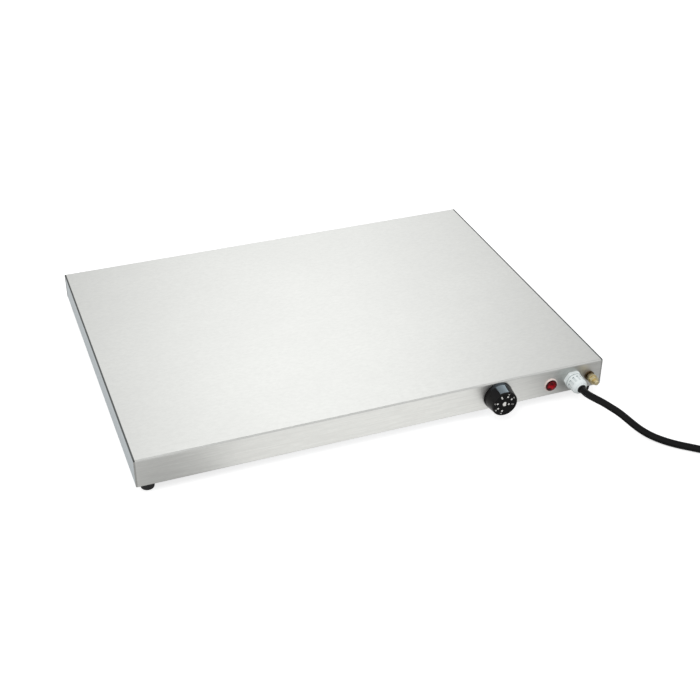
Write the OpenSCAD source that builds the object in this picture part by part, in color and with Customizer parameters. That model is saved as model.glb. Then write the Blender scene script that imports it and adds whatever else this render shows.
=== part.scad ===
// Electric food warmer tray: a flat stainless steel hot plate with a thermostat,
// a pilot lamp, a cable gland and an equipotential bonding terminal on its front skirt.
// Millimetres, +Z up, front towards -Y. The origin is on the surface it stands on, under
// the middle of the whole object's box without its mains lead.

/* [Body] */
// Width of the body, left to right
body_w = 600; // [560:10:700]
// Depth of the body, front skirt to rear skirt
body_d = 450; // [440:10:560]
// Height of the hot surface above the table
body_h = 50; // [50:1:56]
// Height of the skirts' lower edge above the table
skirt_z = 12; // [12:1:14]
// Thickness of the folded stainless sheet
sheet = 1; // [0.8:0.1:1.2]
// Outside radius of the cover's folds
bend_r = 2; // [1.5:0.5:3]
// Width of the inward return along the bottom of each skirt
return_w = 20; // [18:1:24]
// Radius of the skirts' lower corners
corner_r = 3; // [2:1:6]
// How far the end caps stand back from the cover's ends
end_recess = 0.3; // [0.2:0.1:2]
// Outside radius of the end caps' folds
cap_bend = 2; // [1.5:0.5:4]
// Gap round the end caps, under the cover and behind the skirts
cap_gap = 1.4; // [1:0.1:2]

/* [Controls] */
// Height of the thermostat knob's axis above the table
knob_z = 30; // [29:0.5:30.5]
// Height of the pilot lamp above the table
lamp_z = 28; // [26.5:0.5:30]
// Height of the cable gland and the bonding terminal above the table
gland_z = 30; // [29:0.5:31]
// Place of the thermostat knob along the front
knob_x = 154; // [140:0.5:158]
// Place of the pilot lamp along the front
lamp_x = 228; // [224:1:230]
// Place of the cable gland along the front
gland_x = 258.5; // [257:0.5:260]
// Place of the bonding terminal along the front
stud_x = 282.5; // [281:0.5:283]
// Radius of the knob at its base
knob_base_r = 19; // [18.5:0.5:20]
// Radius of the knob at its face
knob_face_r = 17; // [16.6:0.2:17.4]
// How far the knob's face stands out of the panel
knob_out = 20; // [19:0.5:20.5]

/* [Heater] */
// Diameter of the sheathed heating element
element_d = 6.5; // [6:0.5:6.5]
// Straight runs of the element, an even number
element_runs = 6; // [4:2:6]
// Distance between two runs
run_pitch = 62; // [50:1:64]
// Thickness of the insulation board
board_t = 10; // [6:1:10]

/* [Mains lead] */
// Diameter of the lead
cord_d = 9; // [8.6:0.1:9]
// Distance between two turns of the coil, and between its layers
coil_pitch = 9.9; // [9.6:0.1:10.4]
// Radius of the coil's outermost turn, to the middle of the lead
coil_r = 57.6; // [56:0.2:60]

/* [Hidden] */

$fn = 48;
eps = 0.05;

// the front controls stand out further than anything at the rear, so the body sits back by half of that
gland_out = 25;
front_y = -(body_d + gland_out) / 2 + gland_out;
rear_y = front_y + body_d;
mid_y = (front_y + rear_y) / 2;
half_w = body_w / 2;
top_under = body_h - sheet;

// base plate and feet
base_t = 0.8;
base_z = skirt_z - base_t;
base_inset = 4;
foot_inset_x = 15.5;
foot_inset_y = 14;
foot_top_r = 9.4;
foot_base_r = 8;
foot_x = half_w - foot_inset_x;
foot_ys = [front_y + foot_inset_y, rear_y - foot_inset_y];
screw_inset = 10;
screw_xs = [-200, -100, 0, 100, 200];
screw_ys = [front_y + screw_inset, rear_y - screw_inset];
flange_w = 12;
flange_screw_x = half_w - end_recess - 8.5;
flange_screw_ys = [mid_y - 105, mid_y + 105];
cap_x = half_w - end_recess;
cap_front = front_y + sheet + cap_gap;
cap_rear = rear_y - sheet - cap_gap;
cap_top = top_under - cap_gap;

// heater stack, from the underside of the cover downwards
spreader_t = 2;
spreader_w = 550;
spreader_front = front_y + 45;
spreader_rear = rear_y - 15;
spreader_z = top_under - spreader_t;
element_r = element_d / 2;
element_z = spreader_z - element_r - eps;
element_half = 235;
first_run_y = mid_y - run_pitch * (element_runs - 1) / 2 - 2.5;
last_run_y = first_run_y + run_pitch * (element_runs - 1);
bend_run_r = run_pitch / 2;
element_end_x = 262;
terminal_end_x = 280;
strip_t = 1.2;
strip_w = 15;
strip_xs = [-180, 0, 180];
board_z = 26;
tray_t = 0.8;
tray_z = board_z - tray_t;
tray_w = 552;
tray_front = front_y + 44.5;
tray_rear = rear_y - 16;
spacer_places = [[-200, -120], [200, -120], [-200, 185], [200, 185], [0, 35]];
bulb_r = 3;
bulb_y = first_run_y + 1.5 * run_pitch;
bulb_z = spreader_z - bulb_r - eps;
bulb_x = [20, 110];
clip_x = 65;

// wiring runs behind the controls, one level for each lead
wire_r = 1.3;
wire_bend = 3;
loom_y = front_y + 39.5;
block_x = 62;
cutout_x = 100;
cutout_pins = 12;
block_size = [28, 15.4, 16];
block_face_y = front_y + 18;

// the lead: from the gland down to the table, then along it to the coil
cord_r = cord_d / 2;
lead_route = [
  [258.5, -237.5, 30], [258.5, -242, 30], [259.7, -248.7, 29.9], [262.4, -255.2, 29.5], [266.4, -261.1, 28.4],
  [272.4, -267.1, 25.7], [279.2, -273, 21.6], [285.8, -279.8, 17.7], [291.2, -288.3, 13.9], [295.6, -298, 10.7],
  [300.3, -308.7, 8], [306.7, -320.9, 6.1], [315.8, -333.3, 4.9], [328, -346.5, 4.5], [343.5, -360, 4.5],
  [360, -374, 4.5], [376.5, -388, 4.5], [393, -402, 4.5], [409, -415.5, 4.5]];
coil_heading = -40;
tail_heading = 90;
coil_angle = tail_heading - coil_heading + 4 * 360;
coil_step = 15;
coil_start = lead_route[len(lead_route) - 1];
coil_run = cord_d;
coil_centre = [
  coil_start.x + coil_run * cos(coil_heading) - coil_r * sin(coil_heading),
  coil_start.y + coil_run * sin(coil_heading) + coil_r * cos(coil_heading)];
plug_axis_z = 19.6;
coil_top_z = cord_r + coil_pitch;
tail_start = [coil_centre.x + coil_r, coil_centre.y + coil_run, coil_top_z];
tail_rise = plug_axis_z - coil_top_z;
tail_steps = [[0, 0], [10, 0], [22, 0.18], [35, 0.5], [48, 0.82], [60, 1], [70, 1]];
tail_route = [for (s = tail_steps) tail_start + [0, s[0], s[1] * tail_rise]];
plug_y = tail_route[len(tail_route) - 1].y;
boot_l = 26;
plug_l = 36;
pin_r = 2.4;
pin_l = 19;
pin_gap = 9.5;

// ---------- outlines and tubes ----------

function unit(v) = v / norm(v);

// points along an arc about c
function arc(c, r, a0, a1, n = 8) =
  [for (i = [0:n]) let (a = a0 + (a1 - a0) * i / n) c + r * [cos(a), sin(a)]];

// a rectangle centred on the origin with rounded corners
function round_rect(w, h, r, n = 6) = concat(
  arc([w / 2 - r, h / 2 - r], r, 0, 90, n), arc([-w / 2 + r, h / 2 - r], r, 90, 180, n),
  arc([-w / 2 + r, -h / 2 + r], r, 180, 270, n), arc([w / 2 - r, -h / 2 + r], r, 270, 360, n));

// a U that hangs from height top and closes round a centre at height low
function u_outline(r, low, top) =
  concat([[-r, top]], arc([0, low], r, 180, 360, 12), [[r, top]]);

// the bend at corner v of a path that comes from a and goes to b
function bend_points(a, v, b, r, n) =
  let (d1 = unit(a - v), d2 = unit(b - v), half = acos(d1 * d2) / 2,
       centre = v + unit(d1 + d2) * r / sin(half),
       u = unit(v + d1 * r / tan(half) - centre),
       w0 = v + d2 * r / tan(half) - centre, w = unit(w0 - (w0 * u) * u), turn = 180 - 2 * half)
  [for (i = [0:n]) centre + r * (u * cos(turn * i / n) + w * sin(turn * i / n))];

// a path through points, its corners rounded to radius r
function filleted(points, r, n = 4) = let (last = len(points) - 1) concat(
  [points[0]],
  [for (i = [1:1:last - 1]) each bend_points(points[i - 1], points[i], points[i + 1], r, n)],
  [points[last]]);

function tangents(path) = let (last = len(path) - 1)
  [for (i = [0:last]) unit(path[min(i + 1, last)] - path[max(i - 1, 0)])];

// a normal for each point, carried along without twist
function carried(t, i, normal) = i == len(t) ? []
  : let (m = unit(normal - (normal * t[i]) * t[i])) concat([m], carried(t, i + 1, m));

// a closed round tube along a path, its faces all triangles
module tube(path, r, sides = 8, up = [0, 0, -1]) {
  t = tangents(path);
  normals = carried(t, 0, up - (up * t[0]) * t[0]);
  rings = len(path);
  points = [for (i = [0:rings - 1]) let (n = normals[i], b = cross(t[i], n))
    for (k = [0:sides - 1]) let (a = 360 * k / sides) path[i] + r * (n * cos(a) + b * sin(a))];
  walls = [for (i = [0:rings - 2]) for (k = [0:sides - 1])
    let (a = i * sides + k, b = i * sides + (k + 1) % sides)
    each [[a, b + sides, b], [a, a + sides, b + sides]]];
  first_cap = [for (k = [1:sides - 2]) [0, k, k + 1]];
  last_cap = [for (k = [1:sides - 2]) let (z = (rings - 1) * sides) [z, z + k + 1, z + k]];
  polyhedron(concat(points), concat(walls, first_cap, last_cap));
}

// places a piece on a control's axis; its own +Z points out of the front panel and its +Y points up
module at_front(x, z) translate([x, front_y, z]) rotate([90, 0, 0]) children();

module hex_nut(across, thick, bore) difference() {
  cylinder(r = across / 2 / cos(30), h = thick, $fn = 6);
  translate([0, 0, -1]) cylinder(r = bore, h = thick + 2);
}

module washer(r, thick, bore) difference() {
  cylinder(r = r, h = thick);
  translate([0, 0, -1]) cylinder(r = bore, h = thick + 2);
}

// a pan head screw standing on its head at z = 0, with its shank upwards
module pan_screw(head_r, head_h, shank_r, length) difference() {
  rotate_extrude() polygon(concat([[0, 0]], [[head_r * 0.55, 0]],
    arc([head_r - head_h * 0.6, head_h * 0.6], head_h * 0.6, 270, 360, 4),
    [[head_r, head_h], [shank_r, head_h], [shank_r, head_h + length - 0.4],
     [shank_r - 0.4, head_h + length], [0, head_h + length]]));
  translate([-head_r * 0.6, -head_r * 0.13, -1]) cube([head_r * 1.2, head_r * 0.26, 1 + head_h * 0.6]);
  translate([-head_r * 0.13, -head_r * 0.6, -1]) cube([head_r * 0.26, head_r * 1.2, 1 + head_h * 0.6]);
}

// ---------- casing ----------

module cover_profile() difference() {
  translate([mid_y, (body_h + skirt_z) / 2])
    polygon(round_rect(body_d, body_h - skirt_z, bend_r));
  translate([mid_y, (body_h + skirt_z) / 2])
    polygon(round_rect(body_d - 2 * sheet, body_h - skirt_z - 2 * sheet, bend_r - sheet));
  translate([front_y + return_w, skirt_z - 1])
    square([body_d - 2 * return_w, sheet + 2]);
}

// takes the sharp lower corner off both skirts at the right end
module corner_cutter() translate([0, rear_y + 1, 0]) rotate([90, 0, 0])
  linear_extrude(body_d + 2) polygon(concat(
    [[half_w + 1, skirt_z - 1], [half_w - corner_r, skirt_z - 1]],
    arc([half_w - corner_r, skirt_z + corner_r], corner_r, 270, 360),
    [[half_w + 1, skirt_z + corner_r]]));

module front_hole(x, z, r) at_front(x, z) translate([0, 0, -3]) cylinder(r = r, h = 6);

module base_hole(x, y, r) translate([x, y, base_z - 1]) cylinder(r = r, h = 4);

module cover() color("gainsboro") difference() {
  translate([-half_w, 0, 0]) rotate([90, 0, 90]) linear_extrude(body_w) cover_profile();
  corner_cutter();
  mirror([1, 0, 0]) corner_cutter();
  front_hole(knob_x, knob_z, 5.2);
  for (s = [-14, 14]) front_hole(knob_x + s, knob_z, 1.7);
  front_hole(lamp_x, lamp_z, 6.1);
  front_hole(gland_x, gland_z, 9.4);
  front_hole(stud_x, gland_z, 3.3);
  for (x = [-foot_x, foot_x], y = foot_ys) base_hole(x, y, 2.3);
  for (x = screw_xs, y = screw_ys) base_hole(x, y, 1.65);
  for (s = [-9, 9]) base_hole(block_x + s, front_y + 9, 1.4);
}

// the outside of an end cap, or its inside where t is the sheet's thickness
module cap_block(t) intersection() {
  translate([0, cap_rear - t, 0]) rotate([90, 0, 0]) linear_extrude(cap_rear - cap_front - 2 * t)
    translate([cap_x - flange_w, (cap_top + skirt_z) / 2])
      polygon(round_rect(2 * (flange_w - t), cap_top - skirt_z - 2 * t, cap_bend - t, 8));
  translate([cap_x - flange_w, mid_y, skirt_z]) linear_extrude(cap_top - skirt_z)
    polygon(round_rect(2 * (flange_w - t), cap_rear - cap_front - 2 * t, cap_bend - t, 8));
}

// a shallow pan of sheet that closes one end, its flanges turned inwards and notched over the returns
module end_panel() difference() {
  cap_block(0);
  cap_block(sheet);
  translate([cap_x - 2 * flange_w - 1, front_y, skirt_z - 1]) cube([flange_w + 1, body_d, body_h]);
  for (y = [front_y - 1, rear_y - return_w - 1.5])
    translate([cap_x - flange_w - 1, y, skirt_z - 1]) cube([flange_w + 2, return_w + 2.5, sheet + 1.2]);
  translate([cap_x - flange_w - 1, front_y - 1, skirt_z - 1]) cube([flange_w - 7, return_w + 2.5, body_h]);
  for (y = flange_screw_ys) base_hole(flange_screw_x, y, 1.65);
}

module left_end_panel() color("silver") mirror([1, 0, 0]) end_panel();

module right_end_panel() color("silver") end_panel();

module base_plate() color("darkgray") difference() {
  translate([0, mid_y, base_z]) linear_extrude(base_t)
    polygon(round_rect(body_w - 2 * base_inset, body_d - 2 * base_inset, 4));
  for (x = [-foot_x, foot_x], y = foot_ys) base_hole(x, y, 2.3);
  for (x = screw_xs, y = screw_ys) base_hole(x, y, 1.9);
  for (x = [-flange_screw_x, flange_screw_x], y = flange_screw_ys) base_hole(x, y, 1.9);
  for (p = spacer_places) base_hole(p.x, p.y, 2.2);
}

module base_screws() color("silver") {
  for (x = screw_xs, y = screw_ys) translate([x, y, base_z - 2.2]) pan_screw(3.4, 2.2, 1.6, 6);
  for (x = [-flange_screw_x, flange_screw_x], y = flange_screw_ys)
    translate([x, y, base_z - 2.2]) pan_screw(3.4, 2.2, 1.6, 6);
}

// a tapered rubber foot, hollow below round its screw
module foot(x, y) color("black") translate([x, y, 0]) rotate_extrude() polygon(concat(
  [[2.3, 5.5], [4.8, 5.5], [4.8, 0.4], [5.2, 0]],
  arc([foot_base_r - 1, 1], 1, 270, 360, 4),
  arc([foot_top_r - 1, base_z - 1], 1, 0, 90, 4),
  [[2.3, base_z]]));

module foot_front_left() foot(-foot_x, foot_ys[0]);
module foot_front_right() foot(foot_x, foot_ys[0]);
module foot_rear_left() foot(-foot_x, foot_ys[1]);
module foot_rear_right() foot(foot_x, foot_ys[1]);

module foot_screws() color("silver") for (x = [-foot_x, foot_x], y = foot_ys)
  translate([x, y, 5.5 - 2.6]) pan_screw(4, 2.6, 2, 12.5);

module foot_nuts() color("silver") for (x = [-foot_x, foot_x], y = foot_ys)
  translate([x, y, skirt_z + sheet]) hex_nut(7, 3.2, 2.05);

// ---------- heater ----------

module heat_spreader() color("lightgray") translate([0, (spreader_front + spreader_rear) / 2, spreader_z])
  linear_extrude(spreader_t) polygon(round_rect(spreader_w, spreader_rear - spreader_front, 6));

// run 0 starts at the right, and each bend leads into the next run
function element_path() = let (ends = [for (i = [0:element_runs - 1]) let (y = first_run_y + i * run_pitch,
    s = i % 2 == 0 ? 1 : -1) each i == element_runs - 1
      ? [[-element_half, y, element_z], [element_end_x, y, element_z]]
      : i == 0 ? [[element_end_x, y, element_z], [-element_half, y, element_z]]
      : [[s * element_half, y, element_z], [-s * element_half, y, element_z]]])
  [for (i = [0:element_runs - 1]) each concat([ends[2 * i], ends[2 * i + 1]],
    i == element_runs - 1 ? [] : let (s = i % 2 == 0 ? -1 : 1, y = first_run_y + i * run_pitch)
      [for (a = [-67.5:22.5:67.5]) [s * (element_half + bend_run_r * cos(a)),
        y + bend_run_r + bend_run_r * sin(a), element_z]])];

module heating_element() color("dimgray") tube(element_path(), element_r, 12);

module element_terminals() color("ivory") for (y = [first_run_y, last_run_y])
  translate([element_end_x, y, element_z]) rotate([0, 90, 0]) {
    cylinder(r = 3.2, h = 8);
    translate([0, 0, 8]) cylinder(r = 2, h = terminal_end_x - element_end_x - 8);
  }

// strap edges run along Y and close round what they hold at the given places
module strap(x, y0, y1, holds, hold_z, hold_r, stud_ys) difference() {
  translate([x - strip_w / 2, 0, 0]) rotate([90, 0, 90]) linear_extrude(strip_w) difference() {
    union() {
      translate([y0, spreader_z - strip_t]) square([y1 - y0, strip_t]);
      for (y = holds) translate([y, 0]) polygon(u_outline(hold_r + strip_t, hold_z, spreader_z - 0.1));
    }
    for (y = holds) translate([y, 0]) polygon(u_outline(hold_r, hold_z, spreader_z + 1));
  }
  for (y = stud_ys) translate([x, y, spreader_z - 3]) cylinder(r = 2.2, h = 4);
}

run_ys = [for (i = [0:element_runs - 1]) first_run_y + i * run_pitch];
stud_ys = [for (i = [0:element_runs - 2]) run_ys[i] + run_pitch / 2];

module element_clamps() color("silver") for (x = strip_xs)
  strap(x, first_run_y - 12, last_run_y + 12, run_ys, element_z, element_r + 0.1, stud_ys);

module clamp_studs() color("silver") for (x = strip_xs, y = stud_ys)
  translate([x, y, spreader_z - 9]) cylinder(r = 2, h = 9);

module clamp_nuts() color("silver") for (x = strip_xs, y = stud_ys)
  translate([x, y, spreader_z - strip_t - 3.2]) hex_nut(7, 3.2, 2.05);

module thermal_cutout() color("black") translate([cutout_x, stud_ys[0], spreader_z]) mirror([0, 0, 1]) {
  linear_extrude(1) polygon(round_rect(30, 14, 3));
  cylinder(r = 8, h = 7.5);
  for (s = [-1, 1]) translate([s * (cutout_pins - 2) - 5, -3.15, 5]) cube([10, 6.3, 0.8]);
}

module insulation_board() color("wheat") translate([0, (tray_front + tray_rear) / 2, board_z])
  linear_extrude(board_t) polygon(round_rect(tray_w - 3, tray_rear - tray_front - 3, 2));

module insulation_tray() color("darkgray") difference() {
  translate([0, (tray_front + tray_rear) / 2, tray_z]) difference() {
    linear_extrude(tray_t + board_t) polygon(round_rect(tray_w, tray_rear - tray_front, 2.5));
    translate([0, 0, tray_t]) linear_extrude(board_t + 1)
      polygon(round_rect(tray_w - 2 * tray_t, tray_rear - tray_front - 2 * tray_t, 1.7));
  }
  for (p = spacer_places) translate([p.x, p.y, tray_z - 1]) cylinder(r = 2.05, h = 3);
}

module tray_spacers() color("silver") for (p = spacer_places)
  translate([p.x, p.y, skirt_z]) washer(5, tray_z - skirt_z, 2.2);

module tray_screws() color("silver") for (p = spacer_places)
  translate([p.x, p.y, base_z - 2.6]) pan_screw(4, 2.6, 2, board_z - base_z);

// ---------- thermostat and knob ----------

// the two blades' places: across from the spindle, and their height
blades = [[-6, 25], [8, 35]];

module thermostat_body() color("lightgray") at_front(knob_x, knob_z) difference() {
  union() {
    translate([0, 0, -21]) linear_extrude(20) polygon(
      [[-21, -11.5], [-18, -14.5], [18, -14.5], [21, -11.5], [21, 12.5], [18, 15.5], [-18, 15.5], [-21, 12.5]]);
    translate([0, 1, -27]) linear_extrude(6) polygon(round_rect(38, 29, 2));
    translate([0, 0, -1]) cylinder(r = 5, h = 3);
    for (p = blades) translate([p.x - 0.4, p.y - knob_z - 3.15, -35]) cube([0.8, 6.3, 8]);
    translate([-14, 42 - knob_z, -28]) cylinder(r = 1.6, h = 1);
  }
  translate([0, 0, -17]) cylinder(r = 3.06, h = 20);
  for (s = [-14, 14]) translate([s, 0, -7]) cylinder(r = 1.5, h = 7);
}

module thermostat_screws() color("silver") for (s = [-14, 14])
  at_front(knob_x + s, knob_z) mirror([0, 0, 1]) translate([0, 0, -1.9]) pan_screw(2.75, 1.9, 1.45, 6);

module d_shaft(r, flat, z0, z1) intersection() {
  translate([0, 0, z0]) cylinder(r = r, h = z1 - z0);
  translate([-10, -10, z0 - 1]) cube([10 + flat, 20, z1 - z0 + 2]);
}

module thermostat_spindle() color("silver") at_front(knob_x, knob_z) {
  translate([0, 0, -16.5]) cylinder(r = 3, h = 20.5);
  d_shaft(3, 1.5, 4 - eps, knob_out - 0.3);
}

module thermostat_capillary() color("peru") tube(filleted([
  [knob_x - 14, front_y + 28, 42], [knob_x - 14, tray_front, 42],
  [knob_x - 14, tray_front + 12, 38.4], [knob_x - 14, bulb_y - 12, 38.4],
  [knob_x - 18, bulb_y - 4, bulb_z - 2], [knob_x - 26, bulb_y, bulb_z], [bulb_x[1], bulb_y, bulb_z]], 2.5, 3), 0.8, 6);

module thermostat_bulb() color("peru") translate([bulb_x[0], bulb_y, bulb_z]) rotate([0, 90, 0])
  rotate_extrude() polygon([[0, 0], [bulb_r - 0.8, 0], [bulb_r, 0.8], [bulb_r, bulb_x[1] - bulb_x[0] - 3],
    [1.4, bulb_x[1] - bulb_x[0]], [0, bulb_x[1] - bulb_x[0]]]);

module bulb_clip() color("silver") strap(clip_x, bulb_y - 12, bulb_y + 12, [bulb_y], bulb_z, bulb_r + 0.1, []);

dial_r = knob_face_r - 2;

module control_knob() color("black") at_front(knob_x, knob_z) difference() {
  union() {
    rotate_extrude($fn = 96) polygon(concat(
      [[knob_base_r - 1.5, 1], [knob_base_r, 1], [knob_base_r, 2.4]],
      arc([knob_face_r - 1.4, knob_out - 1.4], 1.4, 8, 90, 6),
      [[dial_r + 0.4, knob_out], [dial_r + 0.1, knob_out - 0.3], [dial_r + 0.1, knob_out - 1], [0, knob_out - 1],
       [0, knob_out - 4], [knob_face_r - 1.6, knob_out - 4]]));
    translate([0, 0, 2.5]) cylinder(r = 6.5, h = knob_out - 6);
    for (a = [0:60:300]) rotate(a) translate([6, -0.6, 5]) cube([10, 1.2, knob_out - 8.5]);
  }
  d_shaft(3.04, 1.54, 4, knob_out);
  translate([0, 0, 1]) cylinder(r = 3.1, h = 3 + eps);
}

module knob_dial() color("black") at_front(knob_x, knob_z) difference() {
  translate([0, 0, knob_out - 1]) cylinder(r = dial_r, h = 0.6, $fn = 96);
  translate([0, 0, knob_out - 2]) cylinder(r = 3.1, h = 3);
}

// ---------- pilot lamp ----------

module lamp_bezel() color("silver") at_front(lamp_x, lamp_z) rotate_extrude() polygon(
  [[6, 0], [9.1, 0], [9.1, 0.7], [8.8, 1.3], [8.3, 1.6], [7.7, 1.5], [7.5, 0.2], [6, 0.2]]);

module lamp_lens() color("red") at_front(lamp_x, lamp_z) rotate_extrude() polygon(concat(
  [[0, 0.25], [7.4, 0.25], [7.4, 2.4]], arc([0, -6.4], 11.6, 50, 90, 8)));

module lamp_body() color("ivory") at_front(lamp_x, lamp_z) {
  translate([0, 0, -27]) cylinder(r = 5.9, h = 27.2);
  for (s = [-3, 3]) translate([s - 0.4, -2.4, -34.5]) cube([0.8, 4.8, 7.6]);
}

module lamp_clip() color("silver") at_front(lamp_x, lamp_z) difference() {
  translate([0, 0, -1.6]) cylinder(r = 9.5, h = 0.6);
  translate([0, 0, -2]) cylinder(r = 5.95, h = 2);
  for (a = [0:60:300]) rotate(a) translate([5, -0.6, -2]) cube([2.6, 1.2, 2]);
}

// ---------- cable gland ----------

module gland_body() color("whitesmoke") at_front(gland_x, gland_z) difference() {
  union() {
    intersection() {
      cylinder(r = 11 / cos(30), h = 5, $fn = 6);
      rotate_extrude() polygon([[0, 0], [12.2, 0], [12.5, 0.6], [12.5, 3.6], [11.4, 4.8], [0, 5]]);
    }
    translate([0, 0, -9]) cylinder(r = 9.2, h = 10);
    translate([0, 0, 4]) cylinder(r = 8.6, h = 10);
  }
  translate([0, 0, -10]) cylinder(r = cord_r + 0.7, h = 26);
}

module gland_seal() color("black") at_front(gland_x, gland_z) rotate_extrude() polygon(
  [[cord_r + 0.05, 14.2], [6.7, 14.2], [6.7, 20], [5.6, 20.7], [5.6, 24.4], [5.3, gland_out], [cord_r + 0.05, gland_out]]);

// a domed nut with a collar and grip flutes
module gland_dome_nut() color("whitesmoke") at_front(gland_x, gland_z) difference() {
  rotate_extrude() polygon(concat(
    [[8.7, 5.8], [10.6, 5.8], [11, 6.2], [11, 8.2], [10.5, 8.8]], arc([3.9, 16.4], 6.5, 0, 62, 6),
    [[6.7, 23.3], [6.4, 23.8], [5.8, 23.8], [5.8, 21.2], [6.9, 20.8], [6.9, 14], [8.7, 14]]));
  for (a = [0:30:330]) rotate(a) translate([10.9, 0, 8.9]) cylinder(r = 1.3, h = 9);
}

module gland_locknut() color("whitesmoke") at_front(gland_x, gland_z) translate([0, 0, -6]) hex_nut(24, 5, 9.3);

// ---------- bonding terminal ----------

stud_out = 20;
nut_t = 5;
washer_t = 1.6;
tag_t = 0.8;
lug_top = 13.5;
outer_nut_z = 3 * washer_t + nut_t;
inner_nut_z = -1 - washer_t - tag_t - nut_t;

// inside its nuts the thread is drawn at its pitch radius, and at its free end at its full radius
module bonding_bolt() color("goldenrod") at_front(stud_x, gland_z) rotate_extrude() polygon(
  [[0, -14], [2.2, -14], [2.65, -13.4], [2.65, outer_nut_z + nut_t], [3, outer_nut_z + nut_t],
   [3, stud_out - 0.5], [2.5, stud_out], [0, stud_out]]);

module bonding_nuts() color("goldenrod") at_front(stud_x, gland_z) {
  translate([0, 0, washer_t]) rotate(12) hex_nut(10, nut_t, 2.7);
  translate([0, 0, outer_nut_z]) rotate(38) hex_nut(10, nut_t, 2.7);
  translate([0, 0, inner_nut_z]) hex_nut(10, nut_t, 2.7);
}

module bonding_washers() color("darkgoldenrod") at_front(stud_x, gland_z) {
  washer(6.5, washer_t, 3.2);
  for (i = [1, 2]) translate([0, 0, i * washer_t + nut_t]) washer(6, washer_t - 0.02, 3.2);
  translate([0, 0, -1 - washer_t]) washer(6, washer_t, 3.2);
}

// the tinned lug on the earth core, with its ring under the inner nut and its barrel upwards
module earth_lug() color("silver") at_front(stud_x, gland_z) translate([0, 0, -1 - washer_t - tag_t]) {
  difference() {
    union() {
      cylinder(r = 5.6, h = tag_t);
      translate([-2, 3, 0]) cube([4, 8, tag_t]);
    }
    translate([0, 0, -1]) cylinder(r = 3.2, h = 3);
  }
  translate([0, 9, 0.2]) rotate([-90, 0, 0]) cylinder(r = 1.6, h = lug_top - 9);
}

// ---------- wiring ----------

module terminal_block() color("ivory") difference() {
  translate([block_x - block_size.x / 2, block_face_y - block_size.y, skirt_z + sheet]) cube(block_size);
  for (s = [-9, 0, 9]) translate([block_x + s, block_face_y - 6, skirt_z + 9]) cylinder(r = 2.4, h = 10);
  for (s = [-4.5, 4.5]) translate([block_x + s - 0.6, block_face_y - 17, skirt_z + 13]) cube([1.2, 18, 5]);
  for (s = [-9, 9]) translate([block_x + s, front_y + 9, skirt_z]) cylinder(r = 1.3, h = 5);
}

module terminal_screws() color("silver") for (s = [-9, 0, 9])
  translate([block_x + s, block_face_y - 6, skirt_z + 9]) difference() {
    cylinder(r = 2.3, h = 5);
    translate([-3, -0.4, 4]) cube([6, 0.8, 2]);
  }

// the first points of a wire that leaves the terminal block's rear face
function from_block(across, z) = [for (y = [0, 5]) [block_x + across, block_face_y + y, z]];

// live and neutral run low to the terminal block, and earth goes over to its lug
module supply_cores() color("sienna") {
  tube(filleted(concat(from_block(9, 20), [[block_x + 9, loom_y, 16], [260.2, loom_y, 16], [260.2, loom_y, 32],
    [260.2, -190, 32]]), 2.5), wire_r);
  tube(filleted([[block_x, block_face_y, 20], [block_x, loom_y, 20], [256.5, loom_y, 20], [256.5, loom_y, 30],
    [256.5, -190, 30]], wire_bend), wire_r);
  tube(filleted([[260.2, -190, 28.2], [260.2, -181, 28.2], [stud_x, -181, 46.4], [stud_x, lug_y, 46.4],
    [stud_x, lug_y, gland_z + lug_top]], 2.8), wire_r);
}
lug_y = front_y + 1 + washer_t + tag_t - 0.2;

module control_leads() color("white") {
  tube(filleted([[block_x + 9, block_face_y, 25], [block_x + 9, loom_y, 25], [knob_x - 6, loom_y, 25],
    [knob_x - 6, front_y + 35, 25]], wire_bend), wire_r);
  tube(filleted(concat(from_block(-4, 26), [[block_x - 4, loom_y, 30], [lamp_x - 16, loom_y, 30],
    [lamp_x - 3, loom_y, lamp_z], [lamp_x - 3, front_y + 34.5, lamp_z]]), 2.5), wire_r);
  tube(filleted(concat(from_block(-9, 26), [[block_x - 9, loom_y + 2.9, 30], [lamp_x - 10, loom_y + 2.9, 30],
    [lamp_x + 3, loom_y + 2.9, lamp_z], [lamp_x + 3, front_y + 34.5, lamp_z]]), 2.5), wire_r);
}

// one lead goes straight from the thermostat to the element, the other by way of the cut-out
module heater_leads() color("white") {
  tube(filleted([[knob_x + 8, front_y + 35, 35], [knob_x + 8, loom_y, 35], [289, loom_y, 35],
    [289, first_run_y, element_z], [terminal_end_x, first_run_y, element_z]], wire_bend), wire_r);
  tube(filleted(concat(from_block(2, 26), [[block_x + 2, loom_y, 38.6], [cutout_x - cutout_pins, loom_y, 38.6],
    [cutout_x - cutout_pins, cutout_y - 22, 37.7], [cutout_x - cutout_pins, cutout_y - 10, 41.6],
    [cutout_x - cutout_pins, cutout_y, 41.6]]), 2.5), wire_r);
  tube(filleted([[cutout_x + cutout_pins, cutout_y, 41.6], [cutout_x + cutout_pins, cutout_y - 10, 41.6],
    [cutout_x + cutout_pins, cutout_y - 22, 37.7], [cutout_x + cutout_pins, loom_y, 38.6], [293.5, loom_y, 38.6],
    [293.5, last_run_y, 38.6], [288, last_run_y, element_z], [terminal_end_x, last_run_y, element_z]],
    wire_bend), wire_r);
}
cutout_y = stud_ys[0] - 3.15;

// ---------- mains lead and plug ----------

// the held end of the lead, from the gland's mouth to where the sheath is stripped
module cord_inner_end() color("black") at_front(gland_x, gland_z) translate([0, 0, -22.5])
  cylinder(r = cord_r, h = gland_out + 22.5);

module power_cord() color("black") tube(lead_route, cord_r, 10);

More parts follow.
